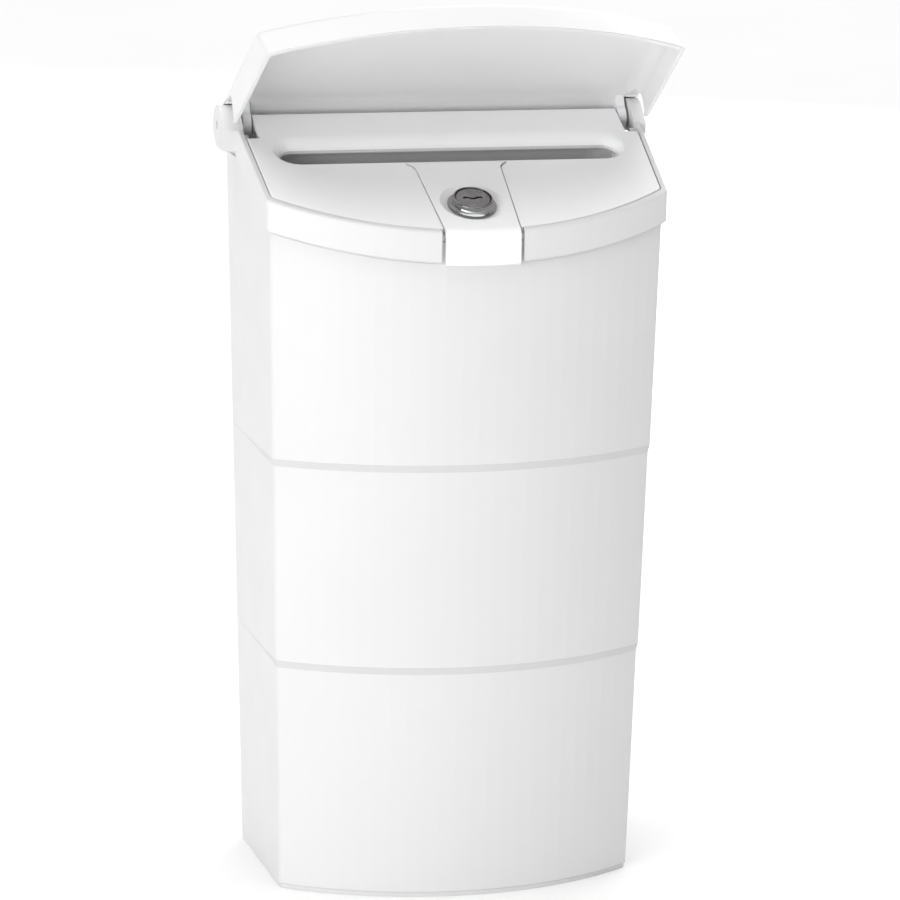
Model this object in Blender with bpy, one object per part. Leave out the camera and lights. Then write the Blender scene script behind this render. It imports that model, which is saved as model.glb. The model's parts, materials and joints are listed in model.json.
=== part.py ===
"""A wall-mounted, lockable hygiene waste bin: a tapered container with a bowed front, a top collar, a slotted
inner cover held by a cam lock, and a tray lid that turns on the same two hinge pins as the cover.

The origin is on the flat base, under the middle of the container. X points right, -Y to the front, +Z up.
A depth is measured from the flat back towards the front.
"""

import math

import bmesh
import bpy
from mathutils import Matrix, Vector

# Container, in metres.
BACK_Y = 0.050
TAPER_HEIGHT = 0.3026
WALL = 0.0030
FLOOR = 0.0025
BASE_FRONT_HALF, BASE_BACK_HALF = 0.0824, 0.0827
BASE_CORNER_DEPTH, BASE_BOW = 0.0796, 0.0271
TOP_FRONT_HALF, TOP_BACK_HALF = 0.0890, 0.0916
TOP_CORNER_DEPTH, TOP_BOW = 0.0830, 0.0270
STEP_HEIGHTS = (0.1050, 0.1972)
STEP_RUN, STEP_INSET = 0.0034, 0.0006
FOOT_HEIGHT, FOOT_INSET = 0.0018, 0.0006
CORNER_RADIUS = 0.0035
KEYHOLE_HALF_SPACING, KEYHOLE_HEIGHT = 0.045, 0.262
KEYHOLE_HEAD_RADIUS, KEYHOLE_NECK_RADIUS, KEYHOLE_RISE = 0.0045, 0.0023, 0.009

# Sloping top: its height at the back, how fast it falls to the front, and the collar around it.
TOP_AT_BACK = 0.3508
TOP_FALL = 0.429
SLOPE = math.atan(TOP_FALL)
COLLAR_HEIGHT = 0.0148
COLLAR_FRONT_HALF, COLLAR_BACK_HALF = 0.0907, 0.0944
COLLAR_CORNER_DEPTH, COLLAR_BOW = 0.0849, 0.0274
RIM = 0.0022
LEDGE_DROP, LEDGE_THICK, LEDGE_WIDTH = 0.0031, 0.0024, 0.0050
CONTAINER_TOP_DROP = 0.0058
GAP = 0.0003
REAR_CUT_DEPTH, REAR_CUT_HEIGHT = 0.0245, 0.3240

# Hinge: both the cover and the lid turn about one line across the back.
HINGE_DEPTH, HINGE_HEIGHT = 0.0167, 0.3380
PIN_RADIUS, PIN_HOLE_RADIUS = 0.0015, 0.0019
PIN_OUTER = {-1: 0.0978, 1: 0.0942}
PIN_INNER = 0.0782
EAR_INNER = 0.0902
EAR_OUTER = {-1: 0.0997, 1: 0.0957}
EAR_BOTTOM = {-1: 0.3280, 1: 0.3325}
EAR_RADIUS, EAR_FRONT, EAR_BLOCK_TOP = 0.0088, 0.0310, 0.3372
WASHER_INNER, WASHER_THICK, WASHER_RADIUS = 0.0893, 0.0006, 0.0052
CLIP_OUTER, CLIP_THICK, CLIP_RADIUS = 0.0799, 0.0008, 0.0040
SWEEP_RADIUS = 0.0132

# Inner cover, in the frame that slopes with the top: u runs forwards from the hinge line, h outwards.
COVER_THICK = 0.0025
COVER_GAP = 0.0004
COVER_REAR_DEPTH = 0.0192
NOTCH_HALF, NOTCH_DEPTH = 0.0843, 0.0377
COVER_LUG_INNER, COVER_LUG_RADIUS = 0.0803, 0.0042
SLOT_HALF, SLOT_REAR, SLOT_FRONT = 0.0811, 0.0352, 0.0585
THROAT_HALF, THROAT_REAR, THROAT_FRONT = 0.0778, 0.0433, 0.0577
SLOT_ROLL = 0.0044
THROAT_DROP, THROAT_WALL = 0.0200, 0.0018
MOUTH_LIP, UNDERCUT = 0.0005, 0.0060

# Lock panel: the tongue from the slot to the lip over the collar's front.
PANEL_PROUD = 0.0004
PANEL_REAR_DEPTH, PANEL_REAR_HALF, PANEL_FRONT_HALF = 0.0598, 0.0194, 0.0168
FLARE, FLARE_LENGTH = 0.0034, 0.0055
PANEL_FRONT_DEPTH, LIP_THICK, LIP_BEND = 0.1127, 0.0022, 0.0050
PANEL_GAP = 0.0004
FRONT_NOTCH_HALF = 0.0184
LIP_OVERHANG = 0.0009
NOTCH_INNER_DEPTH = 0.1088
FLANGE_WIDTH, FLANGE_THICK = 0.0030, 0.0015
DISH_RADIUS, DISH_DEPTH = 0.0145, 0.0016

# Cam lock.
LOCK_DEPTH = 0.0901
HEAD_RADIUS, HEAD_HEIGHT, FACE_RADIUS = 0.0110, 0.0045, 0.0089
FLANGE_HEIGHT = 0.0016
BARREL_RADIUS, BARREL_LENGTH, BARREL_FLAT = 0.0090, 0.0200, 0.0080
PLUG_RADIUS, PLUG_BORE = 0.0060, 0.0063
PLUG_FACE_RADIUS, PLUG_FACE_THICK, PLUG_SINK = 0.0079, 0.0020, 0.0003
KEY_SLOT_HALF, KEY_SLOT_WIDTH, KEY_SLOT_WAVE, KEY_SLOT_DEPTH = 0.0045, 0.0014, 0.0006, 0.0130
WAFER_COUNT, WAFER_PITCH, WAFER_THICK, WAFER_SIZE = 5, 0.0023, 0.0009, 0.0072
NUT_FLATS, NUT_THICK = 0.0240, 0.0030
LOCK_WASHER_RADIUS, LOCK_WASHER_THICK = 0.0125, 0.0009
TAIL_SIDE, TAIL_LENGTH = 0.0068, 0.0024
CAM_LENGTH, CAM_HALF_WIDTH, CAM_THICK = 0.0190, 0.0075, 0.0020
SCREW_RADIUS, SCREW_HEAD_RADIUS, SCREW_HEAD_THICK, SCREW_LENGTH = 0.0020, 0.0042, 0.0024, 0.0060

# Lid, in its own frame: u forwards from the hinge line, h out of its top.
LID_OPEN = math.radians(32.0)
LID_TOP, LID_INSIDE, LID_RIM = 0.0113, 0.0091, -0.0070
LID_WALL = 0.0019
LID_RIM_CORNER, LID_TOP_CORNER, LID_BOW = 0.0902, 0.0744, 0.0247
LID_FRONT_HALF, LID_BACK_HALF = 0.0934, 0.0965
LID_EDGE_RADIUS = 0.0028
LID_BACK_CENTRE, LID_BACK_RADIUS = (0.0010, -0.0007), 0.0120
COVE_CENTRE, COVE_RADIUS, SIDE_COVE = (0.0100, -0.0079), 0.0170, 0.0080
LID_LUG_INNER, LID_LUG_OUTER, LID_LUG_RADIUS = 0.0850, 0.0890, 0.0062
LID_BACK_END = -0.0050

BOW_SEGMENTS = 24
CORNER_SEGMENTS = 4
ROUND = 40


def world(x, depth, z):
    return Vector((x, BACK_Y - depth, z))


def top_height(depth):
    return TOP_AT_BACK - TOP_FALL * depth


def sloped(depth, z):
    """(u, h) of a side-view point in the frame that slopes with the top."""
    forward, up = depth - HINGE_DEPTH, z - HINGE_HEIGHT
    return (forward * math.cos(SLOPE) - up * math.sin(SLOPE),
            forward * math.sin(SLOPE) + up * math.cos(SLOPE))


COVER_TOP = sloped(HINGE_DEPTH, top_height(HINGE_DEPTH))[1]


def along(depth):
    """How far forwards a depth on the sloping top lies from the hinge line, measured along the slope."""
    return sloped(depth, top_height(depth))[0]


# ---------------------------------------------------------------- mesh helpers


def clear_scene():
    for obj in list(bpy.data.objects):
        bpy.data.objects.remove(obj)


def material(name, color, roughness, metallic=0.0):
    made = bpy.data.materials.new(name)
    made.use_nodes = True
    shader = made.node_tree.nodes["Principled BSDF"]
    shader.inputs["Base Color"].default_value = (*color, 1.0)
    shader.inputs["Roughness"].default_value = roughness
    shader.inputs["Metallic"].default_value = metallic
    return made


def finish_mesh(name, mesh, finish=None):
    """A linked object of this bmesh, with its normals out, shaded smooth with sharp edges kept."""
    bmesh.ops.recalc_face_normals(mesh, faces=mesh.faces)
    data = bpy.data.meshes.new(name)
    mesh.to_mesh(data)
    mesh.free()
    data.shade_smooth()
    data.set_sharp_from_angle(angle=math.radians(32))
    obj = bpy.data.objects.new(name, data)
    bpy.context.scene.collection.objects.link(obj)
    if finish:
        data.materials.append(finish)
    return obj


def loft(name, rings, finish=None, closed=False):
    """A solid through rings of equal length: capped at both ends, or closed on itself as a band."""
    mesh = bmesh.new()
    loops = [[mesh.verts.new(point) for point in ring] for ring in rings]
    pairs = list(zip(loops, loops[1:]))
    if closed:
        pairs.append((loops[-1], loops[0]))
    for lower, upper in pairs:
        for i, vertex in enumerate(lower):
            j = (i + 1) % len(lower)
            mesh.faces.new((vertex, lower[j], upper[j], upper[i]))
    if not closed:
        mesh.faces.new(reversed(loops[0]))
        mesh.faces.new(loops[-1])
    return finish_mesh(name, mesh, finish)


def slab(name, outer, inner, finish=None):
    """A solid between two grids of points with the same rows and columns."""
    mesh = bmesh.new()
    tops = [[mesh.verts.new(point) for point in row] for row in outer]
    bottoms = [[mesh.verts.new(point) for point in row] for row in inner]
    rows, columns = len(tops), len(tops[0])
    for i in range(rows - 1):
        for j in range(columns - 1):
            mesh.faces.new((tops[i][j], tops[i + 1][j], tops[i + 1][j + 1], tops[i][j + 1]))
            mesh.faces.new((bottoms[i][j], bottoms[i][j + 1], bottoms[i + 1][j + 1], bottoms[i + 1][j]))
    edge = [(i, 0) for i in range(rows)] + [(rows - 1, j) for j in range(1, columns)]
    edge += [(i, columns - 1) for i in range(rows - 2, -1, -1)]
    edge += [(0, j) for j in range(columns - 2, 0, -1)]
    for (i, j), (k, m) in zip(edge, edge[1:] + edge[:1]):
        mesh.faces.new((tops[i][j], bottoms[i][j], bottoms[k][m], tops[k][m]))
    return finish_mesh(name, mesh, finish)


def disc_points(radius, count=ROUND, centre=(0.0, 0.0)):
    turns = [2 * math.pi * i / count for i in range(count)]
    return [(centre[0] + radius * math.cos(t), centre[1] + radius * math.sin(t)) for t in turns]


def prism(name, outline, low, high, axis="Z", finish=None):
    """An outline extruded along one axis. On X the outline holds (y, z) pairs, on Z (x, y) pairs."""
    if axis == "X":
        rings = [[(level, a, b) for a, b in outline] for level in (low, high)]
    else:
        rings = [[(a, b, level) for a, b in outline] for level in (low, high)]
    return loft(name, rings, finish)


def block(name, low, high, finish=None):
    corners = [(low[0], low[1]), (high[0], low[1]), (high[0], high[1]), (low[0], high[1])]
    return prism(name, corners, low[2], high[2], finish=finish)


def turned(name, profile, finish=None):
    """A solid of revolution about Z: (radius, height) points from its top centre to its bottom centre."""
    mesh = bmesh.new()
    rows = []
    for radius, height in profile:
        if radius == 0:
            rows.append([mesh.verts.new((0, 0, height))] * ROUND)
        else:
            rows.append([mesh.verts.new((x, y, height)) for x, y in disc_points(radius)])
    for upper, lower in zip(rows, rows[1:]):
        for i in range(ROUND):
            j = (i + 1) % ROUND
            corners = [upper[i], lower[i], lower[j], upper[j]]
            mesh.faces.new(list(dict.fromkeys(corners)))
    return finish_mesh(name, mesh, finish)


def combine(target, others, operation):
    """Applies one exact Boolean per helper and removes the helper."""
    for other in others:
        modifier = target.modifiers.new("boolean", "BOOLEAN")
        modifier.operation = operation
        modifier.solver = "EXACT"
        modifier.object = other
        bpy.context.view_layer.update()
        graph = bpy.context.evaluated_depsgraph_get()
        mesh = bpy.data.meshes.new_from_object(target.evaluated_get(graph))
        target.modifiers.clear()
        target.data = mesh
        bpy.data.objects.remove(other)
    target.data.shade_smooth()
    target.data.set_sharp_from_angle(angle=math.radians(32))
    return target


def round_corners(points, radii):
    """The outline with each corner named in radii, {index: radius}, drawn as an arc."""
    rounded = []
    for i, point in enumerate(points):
        if i not in radii:
            rounded.append(point)
            continue
        here = Vector(point)
        back = (Vector(points[i - 1]) - here).normalized()
        ahead = (Vector(points[(i + 1) % len(points)]) - here).normalized()
        half = back.angle(ahead) / 2
        middle = here + (back + ahead).normalized() * radii[i] / math.sin(half)
        start = (here + back * radii[i] / math.tan(half) - middle).normalized()
        end = (here + ahead * radii[i] / math.tan(half) - middle).normalized()
        for k in range(CORNER_SEGMENTS + 1):
            rounded.append(tuple(middle + start.slerp(end, k / CORNER_SEGMENTS) * radii[i]))
    return rounded


def bow(half, corner, sagitta):
    """Points of the circular front from its right end to its left, as (x, depth)."""
    radius = (half * half + sagitta * sagitta) / (2 * sagitta)
    reach = math.asin(half / radius)
    turns = [reach * (1 - 2 * i / BOW_SEGMENTS) for i in range(BOW_SEGMENTS + 1)]
    return [(radius * math.sin(t), corner + sagitta - radius * (1 - math.cos(t))) for t in turns]


def outline(front_half, back_half, corner, sagitta, back=0.0, radius=CORNER_RADIUS):
    """The bin's plan as (x, depth): flat back, splayed sides, rounded front corners and a bowed front."""
    front = bow(front_half, corner, sagitta)
    points = [(-back_half, back), (back_half, back), *front]
    rounded = round_corners(points, {2: radius, len(points) - 1: radius})
    return round_corners(rounded, {0: 0.001, 1: 0.001})


# ---------------------------------------------------------------- container and collar


def mix(low, high, share):
    return low + (high - low) * share


def container_plan(z, inset=0.0, front_inset=0.0):
    """The container's plan at a height; inset moves every side in, front_inset only the front."""
    share = z / TAPER_HEIGHT
    return outline(
        mix(BASE_FRONT_HALF, TOP_FRONT_HALF, share) - inset - front_inset,
        mix(BASE_BACK_HALF, TOP_BACK_HALF, share) - inset,
        mix(BASE_CORNER_DEPTH, TOP_CORNER_DEPTH, share) - inset - front_inset,
        mix(BASE_BOW, TOP_BOW, share),
        back=inset,
    )


def container_rings():
    """The outer skin from the base up: foot, then three panels with a small step between each two."""
    levels = [(0.0, 2 * STEP_INSET + FOOT_INSET), (FOOT_HEIGHT, 2 * STEP_INSET + FOOT_INSET)]
    levels.append((FOOT_HEIGHT + 0.0006, 2 * STEP_INSET))
    for k, height in enumerate(STEP_HEIGHTS):
        inset = (2 - k) * STEP_INSET
        levels += [(height - STEP_RUN / 2, inset), (height + STEP_RUN / 2, inset - STEP_INSET)]
    levels.append((TOP_AT_BACK + 0.01, 0.0))
    return [[world(x, d, z) for x, d in container_plan(z, front_inset=inset)] for z, inset in levels]


def slope_cutter(name, drop):
    """Everything above the plane that lies this far below the sloping top."""
    reach, far = 0.2, 0.16
    near = -0.02
    low = [world(x, d, top_height(d) - drop) for x, d in
           ((-reach, near), (reach, near), (reach, far), (-reach, far))]
    high = [point + Vector((0, 0, 0.2)) for point in low]
    return loft(name, [low, high])


def rear_cutter(name):
    """The space behind the hinge, which stays open for the lid's back."""
    low = world(-0.11, REAR_CUT_DEPTH, REAR_CUT_HEIGHT)
    return block(name, low, world(0.11, -0.01, 0.40))


def keyhole_cutter(name, x):
    head = disc_points(KEYHOLE_HEAD_RADIUS, 24, (x, KEYHOLE_HEIGHT))
    neck = disc_points(KEYHOLE_NECK_RADIUS, 16, (x, KEYHOLE_HEIGHT + KEYHOLE_RISE))
    cutters = []
    for shape in (head, neck):
        rings = [[world(a, d, b) for a, b in shape] for d in (-0.005, 0.008)]
        cutters.append(loft(name, rings))
    neck_box = block(name, world(x - KEYHOLE_NECK_RADIUS, 0.008, KEYHOLE_HEIGHT),
                     world(x + KEYHOLE_NECK_RADIUS, -0.005, KEYHOLE_HEIGHT + KEYHOLE_RISE))
    return cutters + [neck_box]


def hinge_disc(radius):
    return [(BACK_Y - HINGE_DEPTH + y, HINGE_HEIGHT + z) for y, z in disc_points(radius)]


def make_container(finish):
    shell = loft("container", container_rings(), finish)
    hollow = [[world(x, d, z) for x, d in container_plan(z, inset=WALL)] for z in (FLOOR, 0.37)]
    cutters = [slope_cutter("cut", CONTAINER_TOP_DROP), rear_cutter("cut"), loft("cut", hollow)]
    cutters.append(prism("cut", hinge_disc(SWEEP_RADIUS), -EAR_INNER, EAR_INNER, "X"))
    for side in (-1, 1):
        cutters += keyhole_cutter("cut", side * KEYHOLE_HALF_SPACING)
        low, high = sorted((side * (EAR_INNER - GAP), side * 0.11))
        corner = world(low, EAR_FRONT + GAP, EAR_BOTTOM[side] - GAP)
        cutters.append(block("cut", corner, world(high, -0.01, 0.4)))
    return combine(shell, cutters, "DIFFERENCE")


def collar_sections():
    """(inset, drop) corners of the collar's cross-section, round it once."""
    chamfer = 0.0016
    skirt = COLLAR_FRONT_HALF - TOP_FRONT_HALF - 2 * GAP
    ledge = LEDGE_DROP + LEDGE_THICK
    return [(0.0004, 0.0), (0.0, 0.0005), (0.0, COLLAR_HEIGHT - chamfer), (skirt, COLLAR_HEIGHT), (skirt, ledge),
            (LEDGE_WIDTH, ledge), (LEDGE_WIDTH, LEDGE_DROP), (RIM, LEDGE_DROP), (RIM, 0.0)]


def collar_ring(inset, drop):
    plan = outline(COLLAR_FRONT_HALF - inset, COLLAR_BACK_HALF - inset, COLLAR_CORNER_DEPTH - inset,
                   COLLAR_BOW, back=inset)
    return [world(x, d, top_height(d) - drop) for x, d in plan]


def ear_outline(side):
    """The hinge ear's end face as (y, z): round about the pin behind, square in front and below."""
    points = []
    for i in range(21):
        turn = math.radians(50 + 180 * i / 20)
        points.append((HINGE_DEPTH + EAR_RADIUS * math.cos(turn), HINGE_HEIGHT + EAR_RADIUS * math.sin(turn)))
    bottom = EAR_BOTTOM[side]
    points += [(HINGE_DEPTH - 0.0012, bottom), (EAR_FRONT, bottom), (EAR_FRONT, EAR_BLOCK_TOP)]
    return [(BACK_Y - depth, z) for depth, z in points]


def make_collar(finish):
    collar = loft("collar", [collar_ring(*section) for section in collar_sections()], finish, closed=True)
    sweep = prism("cut", hinge_disc(SWEEP_RADIUS), -EAR_INNER, EAR_INNER, "X")
    corners = world(-FRONT_NOTCH_HALF, 0.13, 0.270), world(FRONT_NOTCH_HALF, NOTCH_INNER_DEPTH, 0.330)
    notch = block("cut", *corners)
    combine(collar, [rear_cutter("cut"), sweep, notch], "DIFFERENCE")
    ears = [prism("ear", ear_outline(side), *sorted((side * EAR_INNER, side * EAR_OUTER[side])), "X")
            for side in (-1, 1)]
    combine(collar, ears, "UNION")
    bore = prism("cut", hinge_disc(PIN_HOLE_RADIUS), -0.12, 0.12, "X")
    return combine(collar, [bore], "DIFFERENCE")


# ---------------------------------------------------------------- pieces on the sloping top


def sloped_frame(obj):
    """Puts a piece modelled as (x, -u, h) on the hinge line, sloping with the top."""
    obj.location = world(0, HINGE_DEPTH, HINGE_HEIGHT)
    obj.rotation_euler.x = SLOPE
    return obj


def cover_point(x, depth, h):
    return Vector((x, -along(depth), h))


def stadium(half, rear, front, segments=10):
    """A slot's outline as (x, depth): straight rear and front, half-round ends."""
    radius, middle = (front - rear) / 2, (front + rear) / 2
    points = []
    for side in (1, -1):
        for i in range(segments + 1):
            turn = side * (math.pi / 2 - math.pi * i / segments)
            points.append((side * (half - radius) + side * radius * math.cos(turn),
                           middle + radius * math.sin(turn)))
    return points


def cover_plan(inset):
    """The cover plate's plan as (x, depth), with a notch at each rear corner for the lid's lugs."""
    splay = (COLLAR_BACK_HALF - COLLAR_FRONT_HALF) / COLLAR_CORNER_DEPTH
    front_half = COLLAR_FRONT_HALF - inset
    corner = COLLAR_CORNER_DEPTH - inset
    notch_x = front_half + splay * (corner - NOTCH_DEPTH)
    front = bow(front_half, corner, COLLAR_BOW)
    points = [(-NOTCH_HALF, COVER_REAR_DEPTH), (NOTCH_HALF, COVER_REAR_DEPTH), (NOTCH_HALF, NOTCH_DEPTH),
              (notch_x, NOTCH_DEPTH), *front, (-notch_x, NOTCH_DEPTH), (-NOTCH_HALF, NOTCH_DEPTH)]
    return round_corners(points, {4: CORNER_RADIUS - 0.001, 4 + BOW_SEGMENTS: CORNER_RADIUS - 0.001})


def slot_cutter():
    """The rolled mouth of the slot, narrowing from the face to the throat."""
    rings = [[cover_point(x, d, COVER_TOP + 0.002) for x, d in stadium(SLOT_HALF, SLOT_REAR, SLOT_FRONT)]]
    steps = 6
    for i in range(steps + 1):
        turn = math.pi / 2 * i / steps
        narrowed = math.sin(turn)
        shape = stadium(mix(SLOT_HALF, THROAT_HALF, narrowed), mix(SLOT_REAR, THROAT_REAR, narrowed),
                        mix(SLOT_FRONT, THROAT_FRONT, narrowed))
        depth = SLOT_ROLL * (1 - math.cos(turn))
        rings.append([cover_point(x, d, COVER_TOP - depth) for x, d in shape])
    rings.append([cover_point(x, d, COVER_TOP - THROAT_DROP - 0.002)
                  for x, d in stadium(THROAT_HALF, THROAT_REAR, THROAT_FRONT)])
    return loft("cut", list(reversed(rings)))


def chute_cutter():
    """The chute's bore, wider to the rear than the mouth, so that the mouth's rear edge is a lip."""
    bore = stadium(THROAT_HALF - 0.0002, THROAT_REAR - UNDERCUT, THROAT_FRONT - 0.0002)
    levels = (THROAT_DROP + 0.003, SLOT_ROLL + MOUTH_LIP)
    return loft("cut", [[cover_point(x, d, COVER_TOP - drop) for x, d in bore] for drop in levels])


def throat_sleeve():
    """The chute under the slot, before it is hollowed: wider at the top, where the mouth rolls in."""
    rings = []
    for drop, extra in ((0.0005, 0.0008), (SLOT_ROLL, THROAT_WALL), (THROAT_DROP, THROAT_WALL)):
        share = 1.0 if drop >= SLOT_ROLL else 0.0
        shape = stadium(mix(SLOT_HALF, THROAT_HALF, share) + extra,
                        mix(SLOT_REAR, THROAT_REAR - UNDERCUT, share) - extra,
                        mix(SLOT_FRONT, THROAT_FRONT, share) + extra)
        rings.append([cover_point(x, d, COVER_TOP - drop) for x, d in shape])
    return loft("sleeve", list(reversed(rings)))


def panel_half(depth):
    """Half the tongue's width: narrowing to the front, and flaring into the slot's edge at the rear."""
    share = (depth - PANEL_REAR_DEPTH) / (PANEL_FRONT_DEPTH - PANEL_REAR_DEPTH)
    near = min(1.0, max(0.0, 1 - (depth - PANEL_REAR_DEPTH) / FLARE_LENGTH))
    return mix(PANEL_REAR_HALF, PANEL_FRONT_HALF, share) + FLARE * near ** 3


def flare_depths():
    return [PANEL_REAR_DEPTH + FLARE_LENGTH * k / 6 for k in range(7)]


def panel_plan(grow, front):
    """The tongue's plan as (x, depth), from its rear edge at the slot to a straight front."""
    margin = min(max(grow, 0.0), PANEL_GAP)
    depths = [PANEL_REAR_DEPTH - margin, *flare_depths()[1:], front]
    left = [(-panel_half(depth - margin) - grow, depth) for depth in depths]
    return left + [(-x, depth) for x, depth in reversed(left)]


def make_cover(finish):
    inset = RIM + COVER_GAP
    rings = [[cover_point(x, d, COVER_TOP - drop) for x, d in cover_plan(inset + extra)]
             for drop, extra in ((COVER_THICK, 0.0), (0.0003, 0.0), (0.0, 0.0003))]
    cover = loft("inner_cover", rings, finish)
    adds = [throat_sleeve()]
    for side in (-1, 1):
        edges = sorted((side * COVER_LUG_INNER, side * NOTCH_HALF))
        front = -along(COVER_REAR_DEPTH + 0.004)
        web = [(front, COVER_TOP - 0.0004), (front, -0.001), (0.0, -0.002), (0.0, COVER_LUG_RADIUS - 0.0004)]
        adds.append(prism("lug", disc_points(COVER_LUG_RADIUS), *edges, "X"))
        adds.append(prism("lug", web, edges[0] + 0.0002, edges[1] - 0.0002, "X"))
    combine(cover, adds, "UNION")
    window = [(x, -along(d)) for x, d in panel_plan(PANEL_GAP, 0.13)]
    cuts = [slot_cutter(), chute_cutter(), prism("cut", window, COVER_TOP - 0.006, COVER_TOP + 0.004)]
    cuts.append(prism("cut", disc_points(PIN_HOLE_RADIUS), -0.12, 0.12, "X"))
    for side in (-1, 1):
        edges = sorted((side * (PIN_INNER - GAP), side * (CLIP_OUTER + GAP)))
        reach = CLIP_RADIUS + GAP
        cuts.append(block("cut", (edges[0], -reach, -reach), (edges[1], 2 * reach, reach)))
    return sloped_frame(combine(cover, cuts, "DIFFERENCE"))


def panel_path():
    """Side-view stations of the panel as (outer u, outer h, inner u, inner h, depth for its width)."""
    top = COVER_TOP + PANEL_PROUD
    bottom = COVER_TOP - COVER_THICK
    down = (math.sin(SLOPE), -math.cos(SLOPE))
    normal = (math.cos(SLOPE), math.sin(SLOPE))
    front_u, front_h = sloped(PANEL_FRONT_DEPTH, top_height(PANEL_FRONT_DEPTH))
    turn_all = math.pi / 2 - SLOPE
    setback = LIP_BEND * math.tan(turn_all / 2)
    edge_u = front_u + (top - front_h) * math.tan(SLOPE)
    centre = (edge_u - setback, top - LIP_BEND)
    stations = [(along(depth), top, along(depth), bottom, depth) for depth in flare_depths()]
    for i in range(6):
        turn = turn_all * i / 5
        arm = (math.sin(turn), math.cos(turn))
        outer = [centre[k] + LIP_BEND * arm[k] for k in (0, 1)]
        inner = [centre[k] + (LIP_BEND - mix(top - bottom, LIP_THICK, i / 5)) * arm[k] for k in (0, 1)]
        stations.append((*outer, *inner, PANEL_FRONT_DEPTH))
    drop = COLLAR_HEIGHT + LIP_OVERHANG - setback - PANEL_PROUD
    last = stations[-1]
    for share, thin in ((0.93, 0.0), (1.0, 0.0008)):
        step = [drop * share * value for value in down]
        back = [(LIP_THICK - thin) * value for value in normal]
        tip = (last[0] + step[0] - thin * normal[0], last[1] + step[1] - thin * normal[1])
        stations.append((*tip, tip[0] - back[0] + thin * normal[0], tip[1] - back[1] + thin * normal[1],
                         PANEL_FRONT_DEPTH))
    return stations


def panel_grids():
    columns = 9
    outer, inner = [], []
    radius = (COLLAR_FRONT_HALF ** 2 + COLLAR_BOW ** 2) / (2 * COLLAR_BOW)
    for ou, oh, iu, ih, depth in panel_path():
        half = panel_half(depth)
        shares = [2 * j / (columns - 1) - 1 for j in range(columns)]
        curved = depth == PANEL_FRONT_DEPTH
        setback = [radius - math.sqrt(radius ** 2 - (half * s) ** 2) if curved else 0.0 for s in shares]
        outer.append([Vector((half * s, -(ou - back), oh)) for s, back in zip(shares, setback)])
        inner.append([Vector((half * s, -(iu - back), ih)) for s, back in zip(shares, setback)])
    return outer, inner


def make_panel(finish):
    panel = slab("lock_panel", *panel_grids(), finish)
    lower = COVER_TOP - COVER_THICK
    flange = [(x, min(-along(d), -along(PANEL_REAR_DEPTH))) for x, d in panel_plan(FLANGE_WIDTH, 0.1000)]
    combine(panel, [prism("flange", flange, lower - GAP - FLANGE_THICK, lower - GAP),
                    prism("web", [(x, -along(d)) for x, d in panel_plan(-0.001, 0.0995)],
                          lower - GAP - 0.001, lower + 0.001)], "UNION")
    lock_u = along(LOCK_DEPTH)
    dish = turned("cut", [(0, COVER_TOP + 0.003), (DISH_RADIUS + 0.002, COVER_TOP + 0.003),
                          (DISH_RADIUS, COVER_TOP + PANEL_PROUD), (HEAD_RADIUS + 0.0004, COVER_TOP - DISH_DEPTH),
                          (BARREL_RADIUS + GAP, COVER_TOP - DISH_DEPTH), (BARREL_RADIUS + GAP, -0.010),
                          (0, -0.010)])
    dish.data.transform(Matrix.Translation((0, -lock_u, 0)))
    return sloped_frame(combine(panel, [dish], "DIFFERENCE"))


# ---------------------------------------------------------------- cam lock


def lock_frame(obj):
    """Puts a piece modelled about its own Z axis on the lock's axis, level zero at the panel's dish."""
    tilt = Matrix.Rotation(SLOPE, 4, "X")
    base = Vector((0, -along(LOCK_DEPTH), COVER_TOP - DISH_DEPTH))
    obj.location = world(0, HINGE_DEPTH, HINGE_HEIGHT) + tilt @ base
    obj.rotation_euler.x = SLOPE
    return obj


PLUG_END = -BARREL_LENGTH - 0.0006
NUT_TOP = -(COVER_THICK - DISH_DEPTH) - 2 * GAP - FLANGE_THICK
CAM_TOP = PLUG_END - GAP


def make_barrel(finish):
    profile = [(0, HEAD_HEIGHT), (FACE_RADIUS - 0.0003, HEAD_HEIGHT), (FACE_RADIUS, HEAD_HEIGHT - 0.0003),
               (FACE_RADIUS + 0.0001, FLANGE_HEIGHT + 0.0010), (FACE_RADIUS + 0.0004, FLANGE_HEIGHT + 0.0003),
               (FACE_RADIUS + 0.0011, FLANGE_HEIGHT), (HEAD_RADIUS - 0.0003, FLANGE_HEIGHT - 0.0004),
               (HEAD_RADIUS, 0.0008), (HEAD_RADIUS, GAP),
               (BARREL_RADIUS, GAP), (BARREL_RADIUS, 0.0004 - BARREL_LENGTH),
               (BARREL_RADIUS - 0.0004, -BARREL_LENGTH), (0, -BARREL_LENGTH)]
    barrel = turned("lock_barrel", profile, finish)
    bore = turned("cut", [(0, 0.01), (PLUG_FACE_RADIUS + GAP, 0.01),
                          (PLUG_FACE_RADIUS + GAP, HEAD_HEIGHT - PLUG_SINK - PLUG_FACE_THICK - GAP),
                          (PLUG_BORE, HEAD_HEIGHT - PLUG_SINK - PLUG_FACE_THICK - GAP), (PLUG_BORE, -0.03),
                          (0, -0.03)])
    flats = [block("cut", (low, -0.02, -0.03), (high, 0.02, -0.0030))
             for low, high in ((-0.02, -BARREL_FLAT), (BARREL_FLAT, 0.02))]
    return lock_frame(combine(barrel, [bore, *flats], "DIFFERENCE"))


def wafer_level(number):
    return -0.0040 - number * WAFER_PITCH


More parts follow.
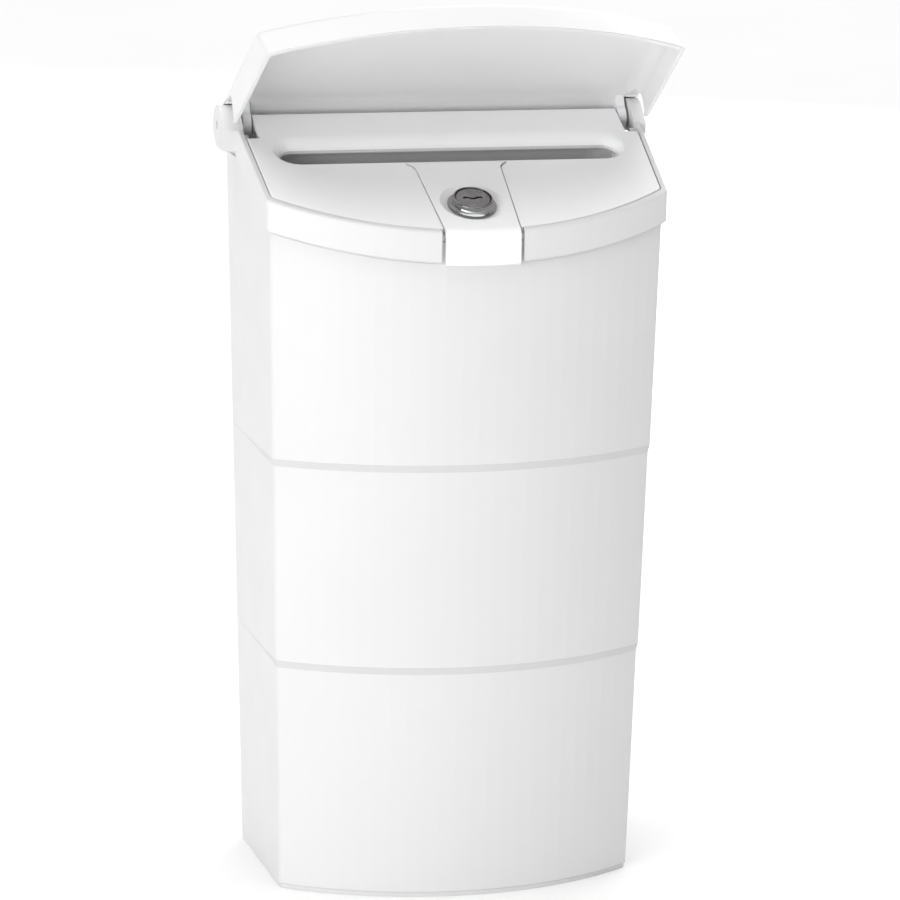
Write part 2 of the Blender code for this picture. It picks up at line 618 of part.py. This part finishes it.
def key_slot_outline():
    """The keyway: a slot that dips in the middle, the way the key's grooves do."""
    steps = 10
    along_slot = [KEY_SLOT_HALF * (2 * i / steps - 1) for i in range(steps + 1)]
    lower = [(x, -KEY_SLOT_WAVE * math.cos(math.pi * x / 0.0030) - KEY_SLOT_WIDTH / 2) for x in along_slot]
    return lower + [(x, y + KEY_SLOT_WIDTH) for x, y in reversed(lower)]


def make_plug(finish):
    face = HEAD_HEIGHT - PLUG_SINK
    profile = [(0, face), (PLUG_FACE_RADIUS - 0.0004, face), (PLUG_FACE_RADIUS, face - 0.0004),
               (PLUG_FACE_RADIUS, face - PLUG_FACE_THICK), (PLUG_RADIUS, face - PLUG_FACE_THICK),
               (PLUG_RADIUS, PLUG_END), (0, PLUG_END)]
    plug = turned("lock_plug", profile, finish)
    side = TAIL_SIDE / 2
    tail = block("tail", (-side, -side, PLUG_END - TAIL_LENGTH), (side, side, PLUG_END + 0.001))
    combine(plug, [tail], "UNION")
    cuts = []
    for number in range(WAFER_COUNT):
        level = wafer_level(number)
        half, width = WAFER_THICK / 2 + GAP, WAFER_SIZE / 2 + GAP
        cuts.append(block("cut", (-width, -0.01, level - half), (width, 0.01, level + half)))
    cuts.append(prism("cut", disc_points(SCREW_RADIUS + GAP, 24), PLUG_END - 0.01, PLUG_END + 0.0060))
    cuts.append(prism("cut", key_slot_outline(), face - KEY_SLOT_DEPTH, 0.01))
    return lock_frame(combine(plug, cuts, "DIFFERENCE"))


def make_wafer(number, finish):
    """One sliding wafer: a flat plate across the plug, with a window for the key."""
    level, half = wafer_level(number), WAFER_THICK / 2
    across = WAFER_SIZE / 2
    reach = PLUG_RADIUS - 0.0014
    corners = (-across, -reach, level - half), (across, reach, level + half)
    wafer = block(f"lock_wafer_{number + 1}", *corners, finish)
    window = block("cut", (-0.0024, -0.0016, level - 0.01), (0.0024, 0.0016, level + 0.01))
    return lock_frame(combine(wafer, [window], "DIFFERENCE"))


def make_ring(name, outer, inner, top, thick, finish, corners=ROUND):
    ring = prism(name, disc_points(outer, corners), top - thick, top, finish=finish)
    hole = prism("cut", disc_points(inner), top - thick - 0.01, top + 0.01)
    return lock_frame(combine(ring, [hole], "DIFFERENCE"))


def make_cam(finish):
    half = CAM_HALF_WIDTH
    end = [(CAM_LENGTH + half * math.cos(t), half * math.sin(t))
           for t in (math.radians(-60 + 120 * i / 8) for i in range(9))]
    turns = [math.radians(90 + 180 * i / 12) for i in range(13)]
    heel = [(half * math.cos(turn), half * math.sin(turn)) for turn in turns]
    cam = prism("lock_cam", end + heel, CAM_TOP - CAM_THICK, CAM_TOP, finish=finish)
    side = TAIL_SIDE / 2 + GAP
    hole = block("cut", (-side, -side, CAM_TOP - 0.01), (side, side, CAM_TOP + 0.01))
    return lock_frame(combine(cam, [hole], "DIFFERENCE"))


def make_cam_screw(finish):
    under = CAM_TOP - CAM_THICK - 0.0026
    profile = [(0, under + SCREW_LENGTH), (SCREW_RADIUS, under + SCREW_LENGTH), (SCREW_RADIUS, under),
               (SCREW_HEAD_RADIUS, under), (SCREW_HEAD_RADIUS - 0.0008, under - SCREW_HEAD_THICK),
               (0, under - SCREW_HEAD_THICK)]
    screw = turned("cam_screw", profile, finish)
    low = under - SCREW_HEAD_THICK - 0.001
    cross = ((0.0024, 0.0005), (0.0005, 0.0024))
    recess = [block("cut", (-a, -b, low), (a, b, low + 0.0022)) for a, b in cross]
    return lock_frame(combine(screw, recess, "DIFFERENCE"))


# ---------------------------------------------------------------- lid


def quarter_pull(radius, rise):
    """How far a quarter-round edge of this radius has come in after rising this much."""
    rise = min(radius, max(0.0, rise))
    return radius - math.sqrt(radius ** 2 - rise ** 2)


def lid_outer_ring(h):
    """The lid's outside at one height, as (x, -u, h)."""
    share = (h - LID_RIM) / (LID_TOP - LID_RIM)
    pull = quarter_pull(LID_EDGE_RADIUS, h - (LID_TOP - LID_EDGE_RADIUS))
    corner = mix(LID_RIM_CORNER, LID_TOP_CORNER, share) - pull
    back = LID_BACK_CENTRE[0] - LID_BACK_RADIUS + quarter_pull(LID_BACK_RADIUS, h - LID_BACK_CENTRE[1])
    half = LID_FRONT_HALF - pull * 0.8
    plan = outline(half, LID_BACK_HALF - pull * 0.8, corner, LID_BOW, back=back, radius=0.0045)
    return [(x, -u, h) for x, u in plan]


def lid_inner_ring(h):
    """The lid's hollow at one height: thin walls, rolling into the plate along the sides and the back."""
    share = (h - LID_RIM) / (LID_TOP - LID_RIM)
    pull = quarter_pull(SIDE_COVE, h - (LID_INSIDE - SIDE_COVE))
    back = COVE_CENTRE[0] - COVE_RADIUS + quarter_pull(COVE_RADIUS, h - COVE_CENTRE[1])
    front_pull = 0.35 * pull
    corner = mix(LID_RIM_CORNER, LID_TOP_CORNER, share) - LID_WALL - 0.0006 - front_pull
    plan = outline(LID_FRONT_HALF - LID_WALL - pull, LID_BACK_HALF - LID_WALL - pull, corner, LID_BOW,
                   back=back, radius=0.0040)
    return [(x, -u, h) for x, u in plan]


def lid_levels(low, high, curved_from):
    """Heights from low to high, closer together where the walls roll over."""
    steps = 8
    straight = [low, mix(low, curved_from, 0.5)]
    curve = [mix(curved_from, high, math.sin(math.pi / 2 * i / steps)) for i in range(steps + 1)]
    return straight + curve


def ear_clearance(side):
    """What the lid leaves free beside each ear: a disc about the pin, and the block below and in front."""
    low, high = sorted((side * LID_LUG_OUTER, side * 0.11))
    disc = prism("cut", disc_points(EAR_RADIUS + 0.0006), low, high, "X")
    reach, first, last = 0.0180, math.radians(22), math.radians(-80)
    turns = [mix(first, last, i / 12) for i in range(13)]
    fan = [(0.0, 0.0), (-0.0058, 0.0086)]
    fan += [(-reach * math.cos(turn), reach * math.sin(turn)) for turn in turns]
    return [disc, prism("cut", list(reversed(fan)), low, high, "X")]


def side_clearance(side):
    """Room beside the lugs: for the collar's side rail in front, and for the ear behind as the lid swings."""
    low, high = sorted((side * (LID_LUG_OUTER + 0.0001), side * 0.112))
    front = [(0.0, -0.02), (-0.0165, -0.02), (-0.0165, COVER_TOP + 0.0004), (0.0, COVER_TOP + 0.0004)]
    rear = [(0.0, 0.0), (0.03, 0.0252), (0.03, -0.021), (0.0, -0.021)]
    return [prism("cut", shape, low, high, "X") for shape in (front, rear)]


def make_lid(finish):
    outer = [lid_outer_ring(h) for h in lid_levels(LID_RIM, LID_TOP, LID_BACK_CENTRE[1])]
    lid = loft("lid", outer, finish)
    levels = [LID_RIM - 0.002, *lid_levels(LID_RIM, LID_INSIDE, LID_INSIDE - SIDE_COVE)]
    inner = [lid_inner_ring(h) for h in levels]
    cuts = [loft("cut", inner)]
    back_trim = [(0.03, LID_BACK_END), (-0.006, LID_BACK_END), (-0.006, -0.02), (0.03, -0.02)]
    cuts.append(prism("cut", back_trim, -0.11, 0.11, "X"))
    for side in (-1, 1):
        cuts += [*ear_clearance(side), *side_clearance(side)]
    combine(lid, cuts, "DIFFERENCE")
    lugs = []
    for side in (-1, 1):
        edges = sorted((side * LID_LUG_INNER, side * LID_LUG_OUTER))
        web = [(0.0060, 0.0), (0.0060, 0.0088), (-0.0060, 0.0098), (-0.0050, 0.0)]
        lugs += [prism("lug", disc_points(LID_LUG_RADIUS), *edges, "X"), prism("lug", web, *edges, "X")]
    combine(lid, lugs, "UNION")
    combine(lid, [prism("cut", disc_points(PIN_HOLE_RADIUS), -0.12, 0.12, "X")], "DIFFERENCE")
    lid.location = world(0, HINGE_DEPTH, HINGE_HEIGHT)
    lid.rotation_euler.x = -LID_OPEN
    return lid


# ---------------------------------------------------------------- hinge hardware


def make_hinge_side(name, side, steel, spring):
    """The pin, the friction washer and the push-on clip at one end of the hinge line."""
    edges = sorted((side * PIN_INNER, side * PIN_OUTER[side]))
    pin = prism(f"hinge_pin_{name}", disc_points(PIN_RADIUS, 24), *edges, "X", steel)
    pieces = [pin]
    for label, first, thick, radius, bore in (
            ("friction_washer", WASHER_INNER, WASHER_THICK, WASHER_RADIUS, PIN_HOLE_RADIUS),
            ("pin_clip", CLIP_OUTER - CLIP_THICK, CLIP_THICK, CLIP_RADIUS, PIN_RADIUS + GAP)):
        low, high = sorted((side * first, side * (first + thick)))
        ring = prism(f"{label}_{name}", disc_points(radius), low, high, "X", spring)
        pieces.append(combine(ring, [prism("cut", disc_points(bore, 24), -0.12, 0.12, "X")], "DIFFERENCE"))
    for piece in pieces:
        piece.location = world(0, HINGE_DEPTH, HINGE_HEIGHT)


def main():
    clear_scene()
    body_white = material("body_white", (0.86, 0.87, 0.88), 0.38)
    cover_white = material("cover_white", (0.86, 0.87, 0.88), 0.36)
    lid_white = material("lid_white", (0.88, 0.89, 0.91), 0.34)
    chrome = material("chrome", (0.80, 0.80, 0.80), 0.10, 1.0)
    brass = material("brass", (0.78, 0.62, 0.35), 0.30, 1.0)
    steel = material("zinc_steel", (0.62, 0.63, 0.65), 0.35, 1.0)
    make_container(body_white)
    make_collar(body_white)
    make_cover(cover_white)
    make_panel(cover_white)
    make_lid(lid_white)
    make_barrel(chrome)
    make_plug(chrome)
    for number in range(WAFER_COUNT):
        make_wafer(number, brass)
    make_ring("lock_washer", LOCK_WASHER_RADIUS, BARREL_RADIUS + GAP, NUT_TOP, LOCK_WASHER_THICK, steel)
    nut_top = NUT_TOP - LOCK_WASHER_THICK - GAP
    across_corners = NUT_FLATS / math.sqrt(3)
    make_ring("lock_nut", across_corners, BARREL_RADIUS + GAP, nut_top, NUT_THICK, steel, corners=6)
    make_cam(steel)
    make_ring("cam_washer", 0.0060, SCREW_RADIUS + GAP, CAM_TOP - CAM_THICK - 0.0012, 0.0009, steel)
    make_cam_screw(steel)
    make_hinge_side("left", -1, steel, steel)
    make_hinge_side("right", 1, steel, steel)


main()
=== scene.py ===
"""Looks for the wall-mounted hygiene bin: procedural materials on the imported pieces, a pale floor, soft
studio light and a camera in front of its left side. Lengths are in metres.
"""

import json
import math

import bpy
from mathutils import Matrix, Vector


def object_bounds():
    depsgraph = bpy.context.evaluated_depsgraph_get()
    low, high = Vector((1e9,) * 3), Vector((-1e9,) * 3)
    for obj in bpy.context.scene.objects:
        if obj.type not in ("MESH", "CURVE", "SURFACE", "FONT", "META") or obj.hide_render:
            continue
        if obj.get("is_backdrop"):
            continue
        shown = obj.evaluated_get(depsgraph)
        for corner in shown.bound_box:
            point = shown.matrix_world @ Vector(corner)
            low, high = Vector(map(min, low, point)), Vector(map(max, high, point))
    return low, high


# The camera: where it stands round the aim point, and what it aims at.
CAMERA_AZIMUTH = math.radians(-14.10)
CAMERA_ELEVATION = math.radians(12.25)
CAMERA_ROLL = math.radians(0.96)
CAMERA_DISTANCE = 2.0249
CAMERA_LENS = 177.24
AIM = Vector((0.0071, 0.0209, 0.1881))

# How far the lock's axis leans forward from upright, with the bin's sloping top.
SLOPE = math.atan(0.429)
# The mould grain's fineness, and the grey of the painted shade that surfaces facing down are drawn towards.
GRAIN = 2600.0
UNDERSIDE_PAINTED_SHADE = (0.50, 0.50, 0.50)
# The height of a surface's normal at which it counts as facing down, with the painted shade full, and as
# upright, with none.
FACES_DOWN, UPRIGHT = -0.16, -0.03
# A wave texture of scale 1 repeats about every 0.314 units.
WAVE_PITCH = 0.314

# Light: where the softboxes aim, the spread of the light from above, and the strengths.
LIGHT_AIM = Vector((0, 0, 0.2))
OVERHEAD_SPREAD = math.radians(70)
OVERHEAD_STRENGTH = 2.42
WORLD_STRENGTH = 0.31


def light_axes(azimuth, elevation):
    """Right, up and back directions of something that looks at the object from there."""
    back = Vector((math.sin(azimuth) * math.cos(elevation), -math.cos(azimuth) * math.cos(elevation),
                   math.sin(elevation)))
    right = (-back).cross(Vector((0, 0, 1))).normalized()
    return right, right.cross(-back), back


# ---------------------------------------------------------------- materials


class Nodes:
    """A material's node tree, with its Principled BSDF."""

    def __init__(self, name):
        self.material = bpy.data.materials.new(name)
        self.material.use_nodes = True
        self.tree = self.material.node_tree
        self.shader = self.tree.nodes["Principled BSDF"]

    def add(self, kind, **settings):
        node = self.tree.nodes.new(kind)
        for key, value in settings.items():
            setattr(node, key, value)
        return node

    def link(self, source, target):
        self.tree.links.new(source, target)

    def place(self, location=(0, 0, 0), turn=0.0, scale=(1, 1, 1)):
        """Coordinates in the object's own frame, or in one moved and tilted from it."""
        coordinates = self.add("ShaderNodeTexCoord")
        mapping = self.add("ShaderNodeMapping", vector_type="TEXTURE")
        mapping.inputs["Location"].default_value = location
        mapping.inputs["Rotation"].default_value = (turn, 0, 0)
        mapping.inputs["Scale"].default_value = scale
        self.link(coordinates.outputs["Object"], mapping.inputs["Vector"])
        return mapping.outputs["Vector"]

    def noise(self, vector, scale, detail=2.0, roughness=0.5):
        node = self.add("ShaderNodeTexNoise")
        node.inputs["Scale"].default_value = scale
        node.inputs["Detail"].default_value = detail
        node.inputs["Roughness"].default_value = roughness
        self.link(vector, node.inputs["Vector"])
        return node.outputs["Fac"]

    def ranged(self, value, low, high, first=0.3, last=0.7):
        node = self.add("ShaderNodeMapRange")
        node.inputs["From Min"].default_value = first
        node.inputs["From Max"].default_value = last
        node.inputs["To Min"].default_value = low
        node.inputs["To Max"].default_value = high
        self.link(value, node.inputs["Value"])
        return node.outputs["Result"]

    def mixed(self, share, first, second):
        node = self.add("ShaderNodeMix", data_type="RGBA")
        node.inputs["A"].default_value = (*first, 1.0)
        node.inputs["B"].default_value = (*second, 1.0)
        self.link(share, node.inputs["Factor"])
        return node.outputs["Result"]

    def painted_underside_shade(self, share):
        """The share of painted shade: the share given where the surface faces down, and nought where it is
        upright or faces up.
        """
        surface = self.add("ShaderNodeNewGeometry")
        parts = self.add("ShaderNodeSeparateXYZ")
        self.link(surface.outputs["True Normal"], parts.inputs["Vector"])
        return self.ranged(parts.outputs["Z"], share, 0.0, FACES_DOWN, UPRIGHT)

    def darkened(self, share, source, dark):
        """The source's colour drawn towards a dark one."""
        node = self.add("ShaderNodeMix", data_type="RGBA")
        self.link(source, node.inputs["A"])
        node.inputs["B"].default_value = (*dark, 1.0)
        self.link(share, node.inputs["Factor"])
        return node.outputs["Result"]

    def bump(self, height, strength, distance, normal=None):
        node = self.add("ShaderNodeBump")
        node.inputs["Strength"].default_value = strength
        node.inputs["Distance"].default_value = distance
        self.link(height, node.inputs["Height"])
        if normal:
            self.link(normal, node.inputs["Normal"])
        return node.outputs["Normal"]

    def soft_edges(self, radius):
        node = self.add("ShaderNodeBevel", samples=4)
        node.inputs["Radius"].default_value = radius
        return node.outputs["Normal"]

    def wire(self, **links):
        names = {"color": "Base Color", "roughness": "Roughness", "normal": "Normal"}
        for key, output in links.items():
            self.link(output, self.shader.inputs[names[key]])

    def set(self, **values):
        for name, value in values.items():
            self.shader.inputs[name.replace("_", " ")].default_value = value


def moulded_plastic(name, color, shade, roughness, edge, grain=1.0, underside_shade=0.6):
    """White moulded plastic: faint cloudiness, fine mould grain, soft edges and rubbed patches.

    Surfaces that face down get painted shade: their colour is darkened, to hold back the light that the
    white floor throws up at them.
    """
    n = Nodes(name)
    where = n.place()
    cloud = n.noise(where, 14.0, 3.0)
    rubbed = n.noise(where, 55.0, 4.0, 0.6)
    fine = n.noise(where, GRAIN, 2.0)
    flow = n.noise(n.place(scale=(1.0, 1.0, 6.0)), 40.0, 2.0)
    unshaded = n.mixed(n.ranged(cloud, 0.0, 1.0), color, shade)
    # painted shade: the colour is darkened where the surface faces down
    n.wire(color=n.darkened(n.painted_underside_shade(underside_shade), unshaded, UNDERSIDE_PAINTED_SHADE),
           roughness=n.ranged(rubbed, roughness - 0.05, roughness + 0.07))
    n.wire(normal=n.bump(fine, 0.22 * grain, 0.00005, n.bump(flow, 0.05, 0.0004, n.soft_edges(edge))))
    n.set(IOR=1.50, Specular_IOR_Level=0.42)
    n.shader.inputs["Subsurface Weight"].default_value = 0.06
    n.shader.inputs["Subsurface Radius"].default_value = (0.0020, 0.0019, 0.0018)
    return n.material


def turned_metal(name, color, shade, roughness, edge, rings, pitch=0.00022, about=None):
    """Metal with fine lathe rings about the lock's axis, small smudges and softened edges."""
    n = Nodes(name)
    where = n.place(about, SLOPE) if about else n.place()
    lathe = n.add("ShaderNodeTexWave", wave_type="RINGS", rings_direction="Z")
    lathe.inputs["Scale"].default_value = WAVE_PITCH / pitch
    lathe.inputs["Distortion"].default_value = 0.6
    n.link(where, lathe.inputs["Vector"])
    smudge = n.noise(where, 260.0, 4.0, 0.6)
    n.wire(color=n.mixed(n.ranged(smudge, 0.0, 1.0), color, shade),
           roughness=n.ranged(smudge, roughness, roughness * 1.8))
    n.wire(normal=n.bump(lathe.outputs["Fac"], rings, 0.00002, n.soft_edges(edge)))
    n.set(Metallic=1.0)
    return n.material


def plated_steel(name, color, shade, roughness, edge):
    """Zinc-plated or plain steel: a cloudy plating with a short directional grain."""
    n = Nodes(name)
    plating = n.noise(n.place(), 420.0, 4.0, 0.65)
    streak = n.noise(n.place(scale=(9.0, 1.0, 1.0)), 3200.0, 2.0)
    n.wire(color=n.mixed(n.ranged(plating, 0.0, 1.0), color, shade),
           roughness=n.ranged(plating, roughness - 0.08, roughness + 0.12),
           normal=n.bump(streak, 0.15, 0.00003, n.soft_edges(edge)))
    n.set(Metallic=1.0)
    return n.material


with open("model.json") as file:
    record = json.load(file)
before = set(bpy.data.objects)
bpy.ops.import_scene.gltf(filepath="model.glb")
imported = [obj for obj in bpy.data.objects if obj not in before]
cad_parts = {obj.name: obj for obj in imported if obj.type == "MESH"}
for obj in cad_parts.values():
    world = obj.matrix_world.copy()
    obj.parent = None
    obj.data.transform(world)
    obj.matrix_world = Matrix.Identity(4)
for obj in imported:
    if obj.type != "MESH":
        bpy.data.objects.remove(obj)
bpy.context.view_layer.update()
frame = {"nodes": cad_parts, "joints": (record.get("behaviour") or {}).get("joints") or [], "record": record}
turn = next(joint for joint in frame["joints"] if joint["name"] == "lock_turn")
lock_axis = tuple(turn["pos_m"])

# The three whites stand for one plastic: the body's lower tone is painted shade on the upright sides, and
# the cover's higher tone is painted light on the sloping top.
body = moulded_plastic("body_white", (0.715, 0.715, 0.715), (0.70, 0.70, 0.703), roughness=0.42,
                       edge=0.0006, underside_shade=0.45)
cover = moulded_plastic("cover_white", (0.915, 0.915, 0.915), (0.90, 0.90, 0.903), roughness=0.40,
                        edge=0.0005)
lid = moulded_plastic("lid_white", (0.80, 0.80, 0.805), (0.785, 0.785, 0.792), roughness=0.34,
                      edge=0.0007, grain=0.7, underside_shade=0.15)
# The chrome's base colour is its own metal grey, set darker as painted shade that stands in for the dark
# surroundings it mirrors.
chrome = turned_metal("chrome", (0.34, 0.34, 0.34), (0.28, 0.28, 0.285), roughness=0.05,
                      edge=0.00025, rings=0.05, about=lock_axis)
plug = turned_metal("plug_satin", (0.30, 0.29, 0.29), (0.22, 0.21, 0.21), roughness=0.24,
                    edge=0.00015, rings=0.35, pitch=0.00030, about=lock_axis)
brass = turned_metal("brass", (0.72, 0.55, 0.28), (0.62, 0.46, 0.22), roughness=0.26,
                     edge=0.0001, rings=0.1, about=lock_axis)
zinc = plated_steel("zinc_steel", (0.56, 0.57, 0.60), (0.48, 0.49, 0.53), roughness=0.36, edge=0.0001)
pin = plated_steel("pin_steel", (0.30, 0.30, 0.31), (0.22, 0.22, 0.23), roughness=0.40, edge=0.0001)

finishes = {"body_white": body, "cover_white": cover, "lid_white": lid, "chrome": chrome, "brass": brass,
            "zinc_steel": zinc, "pin_steel": pin}
slots = {part["node"]: part["material_slot"] for part in frame["record"]["subparts"]}
for name, node in frame["nodes"].items():
    finish = plug if name == "lock_plug" else finishes[slots[name]]
    node.data.materials.clear()
    node.data.materials.append(finish)

# ---------------------------------------------------------------- floor, light and camera


def floor():
    """A plain pale studio floor."""
    mesh = bpy.data.meshes.new("floor")
    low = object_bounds()[0].z
    mesh.from_pydata([(-8, -6, low), (8, -6, low), (8, 10, low), (-8, 10, low)], [], [(0, 1, 2, 3)])
    made = bpy.data.objects.new("floor", mesh)
    bpy.context.scene.collection.objects.link(made)
    n = Nodes("floor_paper")
    soft = n.noise(n.place(), 3.0, 2.0)
    n.wire(color=n.mixed(n.ranged(soft, 0.0, 1.0), (0.93, 0.93, 0.93), (0.91, 0.91, 0.91)))
    n.wire(normal=n.bump(n.noise(n.place(), 900.0), 0.05, 0.0002))
    n.set(Roughness=0.9)
    mesh.materials.append(n.material)
    made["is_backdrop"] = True


def overhead():
    """Even light from straight above, the same over the whole floor."""
    data = bpy.data.lights.new("overhead", "SUN")
    data.energy, data.angle = OVERHEAD_STRENGTH, OVERHEAD_SPREAD
    made = bpy.data.objects.new("overhead", data)
    bpy.context.scene.collection.objects.link(made)


def softbox(name, azimuth, elevation, distance, width, height, energy):
    """A soft rectangular light that looks at the middle of the object. Angles are in degrees."""
    data = bpy.data.lights.new(name, "AREA")
    data.shape = "RECTANGLE"
    data.size, data.size_y = width, height
    data.energy = energy
    right, up, back = light_axes(math.radians(azimuth), math.radians(elevation))
    made = bpy.data.objects.new(name, data)
    made.matrix_world = frame_of(right, up, back, LIGHT_AIM + back * distance)
    bpy.context.scene.collection.objects.link(made)


def frame_of(right, up, back, location):
    matrix = Matrix((right, up, back)).transposed().to_4x4()
    matrix.translation = location
    return matrix


def camera():
    right, up, back = light_axes(CAMERA_AZIMUTH, CAMERA_ELEVATION)
    roll = Matrix.Rotation(CAMERA_ROLL, 3, back)
    data = bpy.data.cameras.new("camera")
    data.sensor_width, data.lens = 36.0, CAMERA_LENS
    made = bpy.data.objects.new("camera", data)
    made.matrix_world = frame_of(roll @ right, roll @ up, back, AIM + back * CAMERA_DISTANCE)
    bpy.context.scene.collection.objects.link(made)
    bpy.context.scene.camera = made


floor()
overhead()
softbox("key_left", azimuth=-50, elevation=5, distance=2.4, width=1.4, height=1.2, energy=26.0)
softbox("key_front", azimuth=-25, elevation=5, distance=2.4, width=1.4, height=1.2, energy=10.3)
softbox("fill_back", azimuth=150, elevation=20, distance=2.4, width=1.6, height=1.4, energy=14)

world = bpy.data.worlds.new("studio")
world.use_nodes = True
world.node_tree.nodes["Background"].inputs["Color"].default_value = (1.0, 1.0, 1.0, 1.0)
world.node_tree.nodes["Background"].inputs["Strength"].default_value = WORLD_STRENGTH
bpy.context.scene.world = world
bpy.context.scene.view_settings.view_transform = "Standard"

camera()
